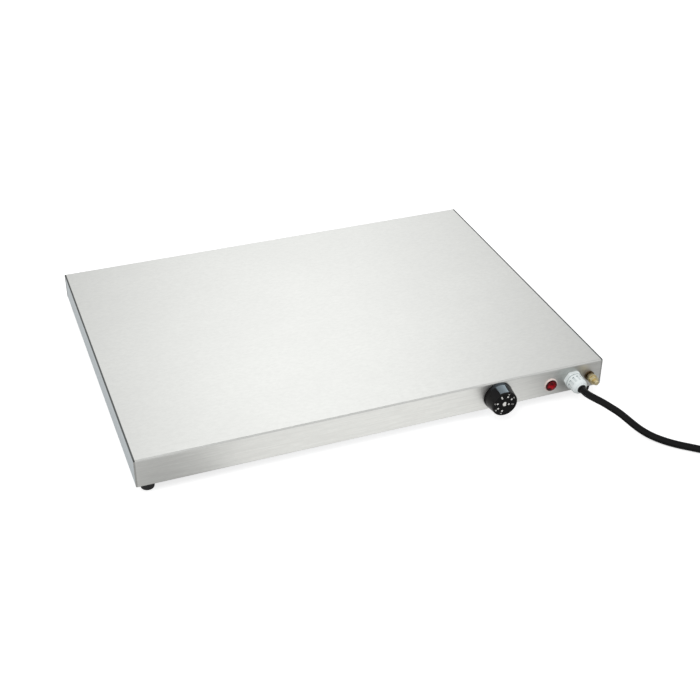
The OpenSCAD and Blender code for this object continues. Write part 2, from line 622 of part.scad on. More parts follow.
// the coil turns inwards for half its angle and out again, and climbs a layer where it reverses
function coil_radius(a) = coil_r - coil_pitch * min(a, coil_angle - a) / 360;
function coil_height(a) = let (s = min(1, max(0, (a - coil_angle / 2 + 90) / 180)))
  cord_r + coil_pitch * s * s * (3 - 2 * s);
function coil_point(a) = let (place = coil_heading - 90 + a)
  [coil_centre.x + coil_radius(a) * cos(place), coil_centre.y + coil_radius(a) * sin(place), coil_height(a)];
coil_steps = ceil(coil_angle / coil_step);
coil_path = concat([coil_start],
  [for (i = [0:coil_steps]) coil_point(coil_angle * i / coil_steps)],
  [tail_start]);

module cord_coil() color("black") tube(coil_path, cord_r, 6);

module cord_tail() color("black") tube(tail_route, cord_r, 10);

// least distance between two turns' surfaces, measured on points more than half a turn apart
function least_gap(path, skip) = min([for (i = [0:len(path) - 1]) for (j = [i + skip:1:len(path) - 1])
  norm(path[i] - path[j])]) - cord_d;
function length_of(path) = [for (i = [1:len(path) - 1]) 1] * [for (i = [1:len(path) - 1]) norm(path[i] - path[i - 1])];
union() {  // cord_coil
  echo(str("coil: least gap between turns ", least_gap(coil_path, 13), " mm"));
  echo(str("lead: ", length_of(lead_route), " + ", length_of(coil_path), " + ", length_of(tail_route), " mm"));
}

// places a piece on the plug's axis; its own +Z points along the plug towards its pins
module at_plug(along = 0) translate([tail_start.x, plug_y + along, plug_axis_z]) rotate([-90, 0, 0]) children();

module plug_boot() color("black") at_plug() difference() {
  rotate_extrude() polygon(concat([[0, 0], [5.2, 0], [6.8, boot_l], [0, boot_l]]));
  for (z = [4:5:19], s = [0, 180]) rotate(s + (z % 2) * 90) translate([4.7, -4, z]) cube([4, 8, 2]);
}

module plug_body() color("black") at_plug(boot_l) difference() {
  rotate_extrude($fn = 72) polygon(concat([[0, 0], [9, 0]], arc([9, 3], 3, 270, 340, 4),
    [[13, 9], [14, 15]], arc([16.5, 20], 3, 160, 100, 4), arc([17.5, plug_l - 2], 2, 0, 90, 4), [[0, plug_l]]));
  for (s = [-1, 1]) {
    translate([s * pin_gap, 0, plug_l - 12]) cylinder(r = 2.2, h = 13);
    translate([-4.6, s * 17.6 - 3, plug_l - 14]) cube([9.2, 6, 15]);
  }
}

// two round pins with rounded tips, seated in the plug on a thinner root
module plug_pins() color("silver") at_plug(boot_l + plug_l) for (s = [-1, 1])
  translate([s * pin_gap, 0, 0]) rotate_extrude() polygon(concat(
    [[0, -11], [2.15, -11], [2.15, 0], [pin_r, 0]], arc([pin_r - 1.2, pin_l - 1.2], 1.2, 0, 90, 4), [[0, pin_l]]));

module plug_earth_clips() color("silver") at_plug(boot_l + plug_l) for (s = [0, 180]) rotate(s)
  translate([-3.5, 14.6, -13.5]) rotate([90, 0, 90]) linear_extrude(7) polygon(
    [[0, 0], [0.8, 0], [2.6, 4], [3.2, 8], [2.2, 13], [1.4, 13], [2.4, 8], [1.8, 4.4], [0, 1]]);

cover();
left_end_panel();
right_end_panel();
base_plate();
base_screws();
foot_front_left();
foot_front_right();
foot_rear_left();
foot_rear_right();
foot_screws();
foot_nuts();
heat_spreader();
heating_element();
element_terminals();
element_clamps();
clamp_studs();
clamp_nuts();
thermal_cutout();
insulation_board();
insulation_tray();
tray_spacers();
tray_screws();
thermostat_body();
thermostat_screws();
thermostat_spindle();
thermostat_capillary();
thermostat_bulb();
bulb_clip();
control_knob();
knob_dial();
lamp_bezel();
lamp_lens();
lamp_body();
lamp_clip();
gland_body();
gland_seal();
gland_dome_nut();
gland_locknut();
bonding_bolt();
bonding_nuts();
bonding_washers();
earth_lug();
terminal_block();
terminal_screws();
supply_cores();
control_leads();
heater_leads();
cord_inner_end();
power_cord();
cord_coil();
cord_tail();
plug_boot();
plug_body();
plug_pins();
plug_earth_clips();
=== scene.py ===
"""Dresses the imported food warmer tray: studio, mains lead, dial print, stud thread and finishes."""

import logging
import math
from dataclasses import dataclass, field
from enum import Enum

import bmesh
import bpy
from mathutils import Matrix, Vector


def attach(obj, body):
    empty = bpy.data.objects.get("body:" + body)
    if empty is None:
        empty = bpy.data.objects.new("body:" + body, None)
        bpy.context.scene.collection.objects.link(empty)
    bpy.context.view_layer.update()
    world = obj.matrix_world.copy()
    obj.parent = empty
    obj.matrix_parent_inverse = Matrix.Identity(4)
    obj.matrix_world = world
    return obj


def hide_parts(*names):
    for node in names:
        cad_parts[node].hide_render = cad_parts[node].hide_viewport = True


log = logging.getLogger("food_warmer")
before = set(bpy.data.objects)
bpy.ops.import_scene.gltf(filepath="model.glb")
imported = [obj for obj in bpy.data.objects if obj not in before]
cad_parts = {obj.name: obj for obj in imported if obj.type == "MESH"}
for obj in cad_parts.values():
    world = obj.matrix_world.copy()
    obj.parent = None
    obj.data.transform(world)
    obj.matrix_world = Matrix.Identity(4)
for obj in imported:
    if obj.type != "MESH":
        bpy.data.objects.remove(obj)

Colour = tuple[float, float, float]
Point = tuple[float, float, float]
Span = tuple[float, float]
Socket = bpy.types.NodeSocket
Mesh = bpy.types.Mesh
Material = bpy.types.Material
Value = Socket | float | tuple[float, ...]
MM = 0.001
FEET = ("foot_front_left", "foot_front_right", "foot_rear_left", "foot_rear_right")


class Body(str, Enum):
    """The moving bodies of the tray."""

    TRAY = "tray"
    KNOB = "knob"


class Axis(Enum):
    """A row axis, such as the one along which a sheet's grain runs."""

    X = 0
    Y = 1
    Z = 2


class Noise(str, Enum):
    """The texture nodes that a finish may read."""

    CLOUD = "ShaderNodeTexNoise"
    CELL = "ShaderNodeTexVoronoi"


def srgb(red: float, green: float, blue: float) -> Colour:
    """Turns a colour read on a screen, 0 to 255, into linear light.

    Args:
        red: The red value.
        green: The green value.
        blue: The blue value.

    Returns:
        The three linear values.
    """
    values = []
    for value in (red, green, blue):
        part = value / 255
        values.append(part / 12.92 if part <= 0.04045 else ((part + 0.055) / 1.055) ** 2.4)
    return (values[0], values[1], values[2])


def shade(colour: Colour, factor: float) -> Colour:
    """Returns the colour with each value multiplied by factor."""
    return (colour[0] * factor, colour[1] * factor, colour[2] * factor)


def add_object(name: str, data: bpy.types.ID) -> bpy.types.Object:
    """Adds an object to the scene.

    Args:
        name: The object's name.
        data: Its mesh, curve, camera or lamp.

    Returns:
        The object.
    """
    thing = bpy.data.objects.new(name, data)
    bpy.context.scene.collection.objects.link(thing)
    return thing


class Nodes:
    """A node tree, and the calls that materials, the studio and geometry trees share."""

    def __init__(self, tree: bpy.types.NodeTree) -> None:
        """Takes a tree and empties it."""
        self.tree = tree
        self.tree.nodes.clear()

    def link(self, source: Socket, target: Socket) -> None:
        """Joins two sockets."""
        self.tree.links.new(source, target)

    def feed(self, target: Socket, value: Value) -> None:
        """Joins a socket to another one, or sets it to a plain value.

        Args:
            target: The socket.
            value: Another socket, a number or a vector.
        """
        if isinstance(value, Socket):
            self.link(value, target)
        else:
            target.default_value = value

    def node(self, kind: str, **sockets: Value) -> bpy.types.Node:
        """Adds a node and sets or links its inputs, with _ in a name standing for a space.

        Args:
            kind: The node's type.
            **sockets: Values or sockets for its inputs.

        Returns:
            The node.
        """
        node = self.tree.nodes.new(kind)
        for name, value in sockets.items():
            self.feed(node.inputs[name.replace("_", " ")], value)
        return node

    def math(self, operation: str, first: Value, second: Value = 0.0) -> Socket:
        """Works out one value from two, or from the first alone.

        Args:
            operation: What the node does.
            first: A value or its socket.
            second: The same, where the operation needs it.

        Returns:
            The result's socket.
        """
        node = self.node("ShaderNodeMath")
        node.operation = operation
        self.feed(node.inputs[0], first)
        self.feed(node.inputs[1], second)
        return node.outputs[0]

    def vector(self, operation: str, first: Socket, second: Point, result: str = "Vector") -> Socket:
        """Works out a vector, or a value, from a vector and a constant one.

        Args:
            operation: What the node does.
            first: The vector.
            second: The constant one.
            result: Which output is wanted, Vector or Value.

        Returns:
            The result's socket.
        """
        node = self.node("ShaderNodeVectorMath")
        node.operation = operation
        self.link(first, node.inputs[0])
        node.inputs[1].default_value = second
        return node.outputs[result]

    def part(self, vector: Socket, axis: Axis) -> Socket:
        """Returns a vector's part along an axis."""
        return self.node("ShaderNodeSeparateXYZ", Vector=vector).outputs[axis.value]

    def spread(self, value: Socket, low: Value, high: Value, start: float = 0.3, end: float = 0.7) -> Socket:
        """Maps a value from start..end to low..high, and holds it there outside."""
        ends = {"From_Min": start, "From_Max": end, "To_Min": low, "To_Max": high}
        return self.node("ShaderNodeMapRange", Value=value, **ends).outputs["Result"]

    def choose(self, switch: Socket, no: Value, yes: Value) -> Socket:
        """Returns one of two values by a switch of 0 or 1."""
        return self.spread(switch, no, yes, 0, 1)

    def ramp(self, value: Socket, start: float, end: float, stops: list[tuple[float, Colour]]) -> Socket:
        """Turns a value into a colour.

        Args:
            value: The value.
            start: The value at the first stop's place, 0.
            end: The value at place 1.
            stops: Each stop's place and colour.

        Returns:
            The colour's socket.
        """
        ramp = self.node("ShaderNodeValToRGB", Fac=self.spread(value, 0, 1, start, end))
        ramp.color_ramp.interpolation = "B_SPLINE"
        marks = ramp.color_ramp.elements
        while len(marks) < len(stops):
            marks.new(0.5)
        for mark, (place, tone) in zip(marks, stops):
            mark.position = place
            mark.color = (*tone, 1)
        return ramp.outputs["Color"]


class Shader(Nodes):
    """One material with a principled surface, and the calls that the finishes share."""

    def __init__(self, name: str) -> None:
        """Makes the material.

        Args:
            name: The material's name.
        """
        self.material = bpy.data.materials.new(name)
        self.material.use_nodes = True
        super().__init__(self.material.node_tree)
        self.surface = self.node("ShaderNodeBsdfPrincipled")
        self.node("ShaderNodeOutputMaterial", Surface=self.surface.outputs["BSDF"])
        self.coordinates = self.node("ShaderNodeTexCoord").outputs["Object"]
        self.normal = self.node("ShaderNodeNewGeometry").outputs["Normal"]

    def set(self, **values: float) -> None:
        """Sets sockets of the surface, with _ in a name standing for a space."""
        for name, value in values.items():
            self.surface.inputs[name.replace("_", " ").title().replace("Ior", "IOR")].default_value = value

    def pattern(self, kind: Noise, scale: Point, detail: float = 2, rough: float = 0.5) -> Socket:
        """Adds a noise or cell texture on the object's own coordinates.

        Args:
            kind: The texture.
            scale: Features for each metre along X, Y and Z.
            detail: The noise's octaves.
            rough: How strong the finer octaves are.

        Returns:
            The texture's value socket.
        """
        place = self.node("ShaderNodeMapping", Vector=self.coordinates, Scale=scale).outputs["Vector"]
        if kind is Noise.CELL:
            return self.node(kind.value, Vector=place, Scale=1).outputs["Distance"]
        return self.node(kind.value, Vector=place, Scale=1, Detail=detail, Roughness=rough).outputs["Fac"]

    def even(self, kind: Noise, scale: float, detail: float = 2, rough: float = 0.5) -> Socket:
        """Adds a texture of the same scale along all three axes."""
        return self.pattern(kind, (scale, scale, scale), detail, rough)

    def blend(self, amount: Socket, first: Colour | Socket, second: Colour | Socket) -> Socket:
        """Mixes two colours by an amount from 0 to 1.

        Args:
            amount: The share of the second colour.
            first: A colour or a colour socket.
            second: A colour or a colour socket.

        Returns:
            The mixed colour's socket.
        """
        node = self.node("ShaderNodeMix")
        node.data_type = "RGBA"
        self.link(amount, node.inputs[0])
        for source, target in ((first, node.inputs[6]), (second, node.inputs[7])):
            self.feed(target, source if isinstance(source, Socket) else (*source, 1))
        return node.outputs[2]

    def finish(self, colour: Socket, roughness: Value) -> None:
        """Gives the surface its colour and its roughness."""
        self.feed(self.surface.inputs["Base Color"], colour)
        self.feed(self.surface.inputs["Roughness"], roughness)

    def bump(self, height: Socket, depth: float, strength: float = 1) -> None:
        """Adds a bump on top of any bump made before.

        Args:
            height: The relief, from 0 to 1.
            depth: Its depth in metres.
            strength: How strongly it shows, from 0 to 1.
        """
        node = self.node("ShaderNodeBump", Height=height, Distance=depth, Strength=strength)
        target = self.surface.inputs["Normal"]
        if target.is_linked:
            self.link(target.links[0].from_socket, node.inputs["Normal"])
        self.link(node.outputs["Normal"], target)

    def stretch(self, grain: Axis, amount: float, tilt: Point = (0.002, 0.003, 0.001)) -> None:
        """Draws reflections out across a grain.

        Args:
            grain: The axis that the grain runs along.
            amount: How far, from 0 to 1.
            tilt: A small vector that keeps the direction from vanishing on faces square to the grain.
        """
        self.set(anisotropic=amount)
        run = tuple(float(axis is grain) for axis in Axis)
        across = self.vector("CROSS_PRODUCT", self.normal, run)
        self.link(self.vector("ADD", across, tilt), self.surface.inputs["Tangent"])

    def upright(self) -> Socket:
        """Returns 1 on upright faces and 0 on level ones."""
        return self.spread(self.math("ABSOLUTE", self.part(self.normal, Axis.Z)), 1, 0)

    def reach(self, axis: Axis) -> Socket:
        """Returns how far a point lies from the row frame's middle along an axis, in metres."""
        return self.math("ABSOLUTE", self.part(self.coordinates, axis))

    def distance(self, place: Point) -> Socket:
        """Returns the distance from a place in the row frame, in metres."""
        return self.vector("DISTANCE", self.coordinates, place, "Value")

    def corners(self, reach: float, samples: int = 6) -> Socket:
        """Tells open faces from grooves.

        Args:
            reach: The width of the widest groove that counts, in metres.
            samples: How many rays feel for a groove.

        Returns:
            1 on open faces, falling to 0 in grooves.
        """
        node = self.node("ShaderNodeAmbientOcclusion", Distance=reach)
        node.samples = samples
        node.only_local = True
        return node.outputs["AO"]


@dataclass(frozen=True)
class Finish:
    """A named finish. Each kind of finish sets up its own surface."""

    name: str

    def dress(self, surface: Shader) -> None:
        """Sets up the surface."""
        raise NotImplementedError

    def material(self) -> Material:
        """Builds the finish.

        Returns:
            The material.
        """
        surface = Shader(self.name)
        self.dress(surface)
        return surface.material


@dataclass(frozen=True)
class Streaks:
    """One layer of darker marks that are drawn out along a sheet's grain.

    share is how far the marks show where they are strongest, and level what they leave of the tone there.
    threshold gives the noise at which they start and at which they are full.
    """

    length: float
    width: float
    detail: float
    rough: float
    share: float
    level: float
    threshold: Span = (0.3, 0.7)
    upright_only: bool = False


FINE_GRAIN = Streaks(90 * MM, 0.7 * MM, 3, 0.6, 0.3, 0.95)
BROAD_BANDS = Streaks(500 * MM, 6 * MM, 2, 0.5, 0.3, 0.97)
SKIRT_LINES = Streaks(45 * MM, 1.6 * MM, 2, 0.55, 1, 0.88, (0.35, 0.65), True)
SPECKS = Streaks(6 * MM, 3.4 * MM, 3, 0.7, 0.55, 0.85)
SCRATCHES = Streaks(160 * MM, 1.6 * MM, 1, 0.4, 0.35, 0.86, (0.74, 0.82))


@dataclass(frozen=True)
class CoverPaintedShade:
    """Painted shade on the cover: shaded gaps at the end joints, darker folds and a shadow by the gland.

    A share is how far a mark shows. joint_upright is what is left of the joint's share on the skirt.
    """

    # painted shade in the gaps where the cover meets the end panels
    joint_at: float = 298.1 * MM
    joint_soft: float = 0.3 * MM
    joint_share: float = 0.9
    joint_upright: float = 0.4
    joint_gap_shade: Colour = srgb(52, 57, 58)
    # painted shade along the folds
    fold_share: float = 0.5
    fold_start: Span = (0.02, 0.2)
    fold_end: Span = (0.75, 0.98)
    fold_shade_level: float = 0.6
    # painted shadow on the skirt beside the gland
    gland: Point = (252 * MM, -213 * MM, 35 * MM)
    gland_reach: Span = (10 * MM, 24 * MM)
    gland_share: float = 0.4
    gland_skirt: Span = (0.6, 1)
    gland_shadow_tone: Colour = srgb(70, 78, 74)

    def dress(self, steel: Shader, colour: Socket, upright: Socket, tone: Colour) -> Socket:
        """Adds the painted shade to the cover's colour.

        Args:
            steel: The cover's shader.
            colour: Its colour without them.
            upright: 1 on upright faces and 0 on level ones.
            tone: The bare sheet's tone.

        Returns:
            The colour with the marks.
        """
        # painted shade: the folds between level and upright faces darken
        fold_shade = steel.math("MULTIPLY", steel.spread(upright, 0, self.fold_share, *self.fold_start),
                          steel.spread(upright, 1, 0, *self.fold_end))
        colour = steel.blend(fold_shade, colour, shade(tone, self.fold_shade_level))
        # painted shade: a dark line in the gap at each end joint
        inner = self.joint_at - self.joint_soft
        ends = steel.spread(steel.reach(Axis.X), 0, self.joint_share, inner, self.joint_at)
        ends = steel.math("MULTIPLY", ends, steel.spread(upright, 1, self.joint_upright))
        colour = steel.blend(ends, colour, self.joint_gap_shade)
        # painted shadow on the skirt beside the gland
        gland_shadow = steel.spread(steel.distance(self.gland), self.gland_share, 0, *self.gland_reach)
        gland_shadow = steel.math("MULTIPLY", gland_shadow, steel.spread(upright, 0, 1, *self.gland_skirt))
        return steel.blend(gland_shadow, colour, self.gland_shadow_tone)


@dataclass(frozen=True)
class BrushedSteel(Finish):
    """Sheet metal with a fine grain along one axis, faint cloudy patches and a few long scratches."""

    tone: Colour = srgb(240, 241, 238)
    grain: Axis = Axis.X
    rough: float = 0.29
    upright_rough: float = 0.44
    patch_scale: Point = (9, 14, 14)
    patch_level: float = 0.96
    patch_depth: float = 0.3 * MM
    grain_depth: float = 0.01 * MM
    drawn: float = 0.15
    layers: tuple[Streaks, ...] = (BROAD_BANDS, SKIRT_LINES, SPECKS, FINE_GRAIN, SCRATCHES)
    # painted shade on the cover: in its end joint gaps, on its folds and beside the gland
    marks: CoverPaintedShade | None = None

    def streaks(self, steel: Shader, layer: Streaks) -> Socket:
        """Returns a layer's noise, drawn out along the grain."""
        scale = tuple(1 / (layer.length if axis is self.grain else layer.width) for axis in Axis)
        return steel.pattern(Noise.CLOUD, scale, layer.detail, layer.rough)

    def dress(self, steel: Shader) -> None:
        """Sets up the surface.

        Args:
            steel: The surface.
        """
        steel.set(metallic=1.0)
        steel.stretch(self.grain, self.drawn)
        upright = steel.upright()
        patches = steel.pattern(Noise.CLOUD, self.patch_scale, detail=3, rough=0.55)
        colour = steel.blend(steel.spread(patches, 0, 1), shade(self.tone, self.patch_level), self.tone)
        for layer in self.layers:
            amount = steel.spread(self.streaks(steel, layer), 0, layer.share, *layer.threshold)
            if layer.upright_only:
                amount = steel.math("MULTIPLY", amount, upright)
            colour = steel.blend(amount, colour, shade(self.tone, layer.level))
        # adds the cover's painted shade
        if self.marks:
            colour = self.marks.dress(steel, colour, upright, self.tone)
        steel.finish(colour, steel.spread(upright, self.rough, self.upright_rough, 0, 1))
        steel.bump(self.streaks(steel, FINE_GRAIN), self.grain_depth, strength=0.3)
        steel.bump(patches, self.patch_depth, strength=0.08)


@dataclass(frozen=True)
class PlatedMetal(Finish):
    """Zinc, nickel, copper or oxide with fine handling marks, and spangles where they have a scale.

    A share is how far a mark shows at its fullest, and a level what it leaves of the tone there.
    """

    tone: Colour
    rough: float = 0.25
    stain: Colour | None = None
    scale: float = 300
    spangle: float = 0
    stain_share: float = 0.7
    stain_level: float = 0.8
    spangle_share: float = 0.4
    spangle_level: float = 0.7
    spangle_rims: Span = (0.1, 0.8)
    rough_span: Span = (-0.06, 0.12)
    fine_ratio: float = 6
    mark_depth: float = 0.02 * MM

    def dress(self, metal: Shader) -> None:
        """Sets up the surface.

        Args:
            metal: The surface.
        """
        metal.set(metallic=1.0)
        cloud = metal.even(Noise.CLOUD, self.scale, detail=3, rough=0.6)
        fine = metal.even(Noise.CLOUD, self.scale * self.fine_ratio)
        stain = self.stain or shade(self.tone, self.stain_level)
        tone = metal.blend(metal.spread(cloud, 0, self.stain_share), self.tone, stain)
        if self.spangle:
            flakes = metal.even(Noise.CELL, self.spangle)
            rims = metal.spread(flakes, 0, self.spangle_share, *self.spangle_rims)
            tone = metal.blend(rims, tone, shade(self.tone, self.spangle_level))
        metal.finish(tone, metal.spread(cloud, *(self.rough + part for part in self.rough_span)))
        metal.bump(fine, self.mark_depth, strength=0.4)


@dataclass(frozen=True)
class Moulding(Finish):
    """Moulded plastic, rubber or ceramic: fine grain, slight wear and, where given, painted shade in grooves.
    """

    tone: Colour
    rough: float = 0.4
    grain: float = 1800
    depth: float = 0.03 * MM
    worn: float = 1.25
    shine: float = 0.5
    groove: Colour | None = None
    groove_width: float = 2.2 * MM
    groove_shade: Span = (0.45, 0.95)
    wear_scale: float = 70
    rough_span: Span = (-0.06, 0.08)

    def dress(self, plastic: Shader) -> None:
        """Sets up the surface.

        Args:
            plastic: The surface.
        """
        plastic.set(specular_ior_level=self.shine)
        wear = plastic.even(Noise.CLOUD, self.wear_scale, detail=3, rough=0.55)
        fine = plastic.even(Noise.CLOUD, self.grain, rough=0.6)
        tone = plastic.blend(plastic.spread(wear, 0, 1), self.tone, shade(self.tone, self.worn))
        if self.groove:
            # painted shade: grooves darken towards the groove colour
            deep = plastic.spread(plastic.corners(self.groove_width), 1, 0, *self.groove_shade)
            tone = plastic.blend(deep, tone, self.groove)
        plastic.finish(tone, plastic.spread(wear, *(self.rough + part for part in self.rough_span)))
        plastic.bump(fine, self.depth, strength=0.6)


@dataclass(frozen=True)
class KnobPlastic(Finish):
    """Black gloss plastic with a matt band where the knob meets the sheet."""

    name: str = "knob_black_gloss"
    tone: Colour = srgb(6, 5, 6)
    worn: float = 1.3
    gloss: float = 0.12
    matt: float = 0.7
    band: Span = (217.4 * MM, 218.4 * MM)
    shine: float = 0.22
    wear_scale: float = 70
    depth: float = 0.02 * MM

    def dress(self, knob: Shader) -> None:
        """Sets up the surface.

        Args:
            knob: The surface.
        """
        knob.set(specular_ior_level=self.shine)
        wear = knob.even(Noise.CLOUD, self.wear_scale, detail=3, rough=0.55)
        tone = knob.blend(knob.spread(wear, 0, 1), self.tone, shade(self.tone, self.worn))
        knob.finish(tone, knob.spread(knob.reach(Axis.Y), self.matt, self.gloss, *self.band))
        knob.bump(wear, self.depth, strength=0.4)


@dataclass(frozen=True)
class Brass(Finish):
    """Turned brass, bright on its free end and brown towards the sheet, with brown painted shade in its
    corners.
    """

    name: str = "terminal_brass"
    tone: Colour = srgb(255, 242, 198)
    dull: Colour = srgb(188, 165, 116)
    brown: Colour = srgb(80, 58, 38)
    brown_share: float = 0.9
    foot: Point = (282.5 * MM, -211 * MM, 30 * MM)
    foot_reach: Span = (7 * MM, 14 * MM)
    corner_width: float = 2 * MM
    corner_shade: Span = (0.4, 0.9)
    dull_share: float = 0.6
    cloud_scale: float = 320
    grain: float = 1800
    rough: Span = (0.16, 0.3)
    depth: float = 0.02 * MM

    def dress(self, brass: Shader) -> None:
        """Sets up the surface.

        Args:
            brass: The surface.
        """
        brass.set(metallic=1.0)
        cloud = brass.even(Noise.CLOUD, self.cloud_scale, detail=3, rough=0.6)
        fine = brass.even(Noise.CLOUD, self.grain)
        tone = brass.blend(brass.spread(cloud, 0, self.dull_share), self.tone, self.dull)
        foot = brass.spread(brass.distance(self.foot), self.brown_share, 0, *self.foot_reach)
        # painted shade: the corners darken to brown
        corner = brass.spread(brass.corners(self.corner_width), self.brown_share, 0, *self.corner_shade)
        for amount in (foot, corner):
            tone = brass.blend(amount, tone, self.brown)
        brass.finish(tone, brass.spread(cloud, *self.rough))
        brass.bump(fine, self.depth, strength=0.4)


@dataclass(frozen=True)
class LampPlastic(Finish):
    """Translucent red plastic with small facets moulded inside, painted light and glints in the middle,
    painted shade at its rim.
    """

    name: str = "lamp_red_plastic"
    middle: Point = (228 * MM, -215 * MM, 28 * MM)
    rim: Span = (2.28 * MM, 7.22 * MM)
    # painted shade at the rim and in cloudy patches, painted light in the middle, painted glints on the
    # facets
    deep: Colour = srgb(54, 2, 6)
    lit: Colour = srgb(176, 12, 26)
    painted_glint: Colour = srgb(226, 34, 48)
    rough: float = 0.16
    shine: float = 0.14
    facet_scale: float = 300
    facet_rims: Span = (0.2, 0.6)
    facet_depth: float = 0.3 * MM
    cloud_scale: float = 230
    cloud_share: float = 0.9
    cloud_edge: Span = (0.42, 0.6)

    def dress(self, lens: Shader) -> None:
        """Sets up the surface.

        Args:
            lens: The surface.
        """
        lens.set(specular_ior_level=self.shine)
        facets = lens.even(Noise.CELL, self.facet_scale)
        clouds = lens.even(Noise.CLOUD, self.cloud_scale, detail=1)
        # painted glints on the facets and painted shade in cloudy patches
        glow = lens.blend(lens.spread(facets, 0, 1, *self.facet_rims), self.painted_glint, self.lit)
        glow = lens.blend(lens.spread(clouds, 0, self.cloud_share, *self.cloud_edge), glow, self.deep)
        # painted shade at the rim
        rim = lens.spread(lens.distance(self.middle), 0, 1, *self.rim)
        lens.finish(lens.blend(rim, glow, self.deep), self.rough)
        lens.bump(facets, self.facet_depth, strength=0.25)


@dataclass(frozen=True)
class MarkPaint(Finish):
    """White marking paint, a little thin and worn."""

    name: str = "dial_white_print"
    tone: Colour = srgb(236, 236, 232)
    thin: float = 0.72
    rough: float = 0.45
    wear_scale: float = 1500

    def dress(self, paint: Shader) -> None:
        """Sets up the surface.

        Args:
            paint: The surface.
        """
        wear = paint.even(Noise.CLOUD, self.wear_scale, detail=3)
        tone = paint.blend(paint.spread(wear, 0, 1), self.tone, shade(self.tone, self.thin))
        paint.finish(tone, self.rough)


def finish_node(node: str, material: Material) -> None:
    """Gives a CAD node its finish.

    Args:
        node: The node's name.
        material: The finish.
    """
    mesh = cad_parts[node].data
    mesh.materials.clear()
    mesh.materials.append(material)
    log.info("finished node %s with %s", node, material.name)


def smooth_node(node: str, angle: float = 35) -> None:
    """Shades a CAD node's curved faces smoothly.

    Args:
        node: The node's name.
        angle: The angle in degrees from which an edge stays sharp.
    """
    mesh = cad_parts[node].data
    for face in mesh.polygons:
        face.use_smooth = True
    mesh.set_sharp_from_angle(angle=math.radians(angle))


def new_piece(name: str, mesh: Mesh, material: Material, body: Body) -> None:
    """Adds a mesh to the scene as a piece of a body.

    Args:
        name: The piece's name.
        mesh: Its mesh, in the row frame.
        material: Its finish.
        body: The body it rides on.
    """
    piece = add_object(name, mesh)
    mesh.materials.clear()
    mesh.materials.append(material)
    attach(piece, body.value)
    log.info("piece %s: %d faces on %s", name, len(mesh.polygons), body.value)


def evaluated_mesh(thing: bpy.types.Object) -> Mesh:
    """Returns the plain mesh that an object's modifiers give."""
    graph = bpy.context.evaluated_depsgraph_get()
    return bpy.data.meshes.new_from_object(thing.evaluated_get(graph))


def mesh_of(parts: bmesh.types.BMesh, name: str) -> Mesh:
    """Turns an edit mesh into a plain one and frees it.

    Args:
        parts: The edit mesh.
        name: The plain one's name.

    Returns:
        The plain mesh.
    """
    mesh = bpy.data.meshes.new(name)
    parts.to_mesh(mesh)
    parts.free()
    return mesh


def on_front(x: float, y: float, z: float) -> Matrix:
    """Returns the move that stands a thing drawn in X and Y up on the tray's front, at that place."""
    return Matrix.Translation((x, y, z)) @ Matrix.Rotation(math.radians(90), 4, "X")


class GeometryTree(Nodes):
    """A geometry node tree with named inputs, baked to a plain mesh."""

    def __init__(self, name: str) -> None:
        """Starts an empty tree that takes and gives geometry.

        Args:
            name: The tree's name.
        """
        super().__init__(bpy.data.node_groups.new(name, "GeometryNodeTree"))
        for way in ("INPUT", "OUTPUT"):
            self.tree.interface.new_socket("Geometry", in_out=way, socket_type="NodeSocketGeometry")
        self.values: dict[str, float | int | Material] = {}
        self.inputs = self.node("NodeGroupInput")
        self.output = self.node("NodeGroupOutput")

    def number(self, name: str, value: float) -> Socket:
        """Adds a named number to the tree's inputs.

        Args:
            name: Its name.
            value: Its value, a whole number or not.

        Returns:
            Its socket.
        """
        kind = "NodeSocketInt" if isinstance(value, int) else "NodeSocketFloat"
        self.tree.interface.new_socket(name, in_out="INPUT", socket_type=kind)
        self.values[name] = value
        return self.inputs.outputs[name]

    def bake(self, geometry: Socket, material: Material) -> Mesh:
        """Closes the tree with Realize Instances and Set Material, and returns its plain mesh.

        Args:
            geometry: What the tree has made.
            material: The finish of the result.

        Returns:
            The finished mesh.
        """
        self.tree.interface.new_socket("Finish", in_out="INPUT", socket_type="NodeSocketMaterial")
        self.values["Finish"] = material
        real = self.node("GeometryNodeRealizeInstances", Geometry=geometry)
        finish = self.inputs.outputs["Finish"]
        last = self.node("GeometryNodeSetMaterial", Geometry=real.outputs[0], Material=finish)
        self.link(last.outputs[0], self.output.inputs[0])
        carrier = add_object(self.tree.name, bpy.data.meshes.new(self.tree.name))
        modifier = carrier.modifiers.new("nodes", "NODES")
        modifier.node_group = self.tree
        for item in self.tree.interface.items_tree:
            if item.in_out == "INPUT" and item.name in self.values:
                modifier[item.identifier] = self.values[item.name]
        mesh = evaluated_mesh(carrier)
        carrier.modifiers.remove(modifier)
        bpy.data.objects.remove(carrier)
        return mesh


@dataclass(frozen=True)
class Softbox:
    """A square lamp: its place, its width, its power in watts, what it faces and its colour.

    mirrored says whether glossy faces show it.
    """

    name: str
    place: Point
    side: float
    power: float
    aim: Point = (0, 0, 50 * MM)
    colour: Colour = (1, 1, 1)
    mirrored: bool = False

    def build(self) -> bpy.types.Object:
        """Hangs the lamp.

        Returns:
            The lamp.
        """
        data = bpy.data.lights.new(self.name, "AREA")
        data.size = self.side
        data.energy = self.power
        data.color = self.colour
        lamp = add_object(self.name, data)
        lamp.visible_glossy = self.mirrored
        lamp.location = self.place
        lamp.rotation_euler = (Vector(self.aim) - Vector(self.place)).to_track_quat("-Z", "Y").to_euler()
        return lamp


